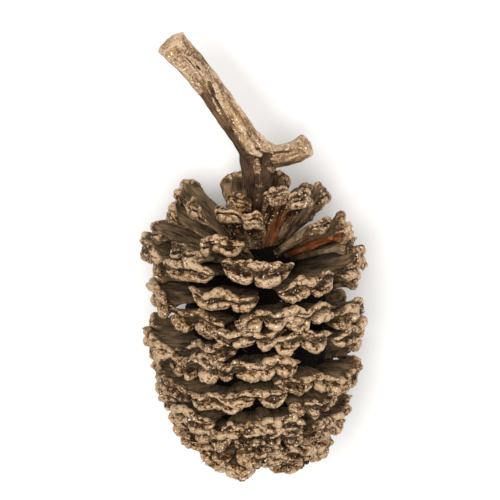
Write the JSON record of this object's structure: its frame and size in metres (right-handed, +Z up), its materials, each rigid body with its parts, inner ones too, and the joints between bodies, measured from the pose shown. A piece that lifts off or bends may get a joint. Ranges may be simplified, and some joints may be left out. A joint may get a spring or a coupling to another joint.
{
  "type": "alder cone",
  "caption": "Small open alder cone lying on its side, with spread woody scales, a stalk and a cut piece of forked twig.",
  "frame": {"origin": "on the surface that the cone lies on, under the middle of its outline", "axes": "+Y along the cone's axis towards the stem end, +Z up, +X to the right with the stem end away from the viewer"},
  "size_m": [0.0158, 0.0312, 0.0143],
  "materials": {
    "scale_wood": "dry dark brown cone wood with champagne-gold dusted rims",
    "twig_bark": "ridged dry bark dusted champagne gold, with bare dark brown patches"
  },
  "bodies": {
    "root": {"cone": "scale_wood", "twig": "twig_bark"}
  },
  "joints": []
}
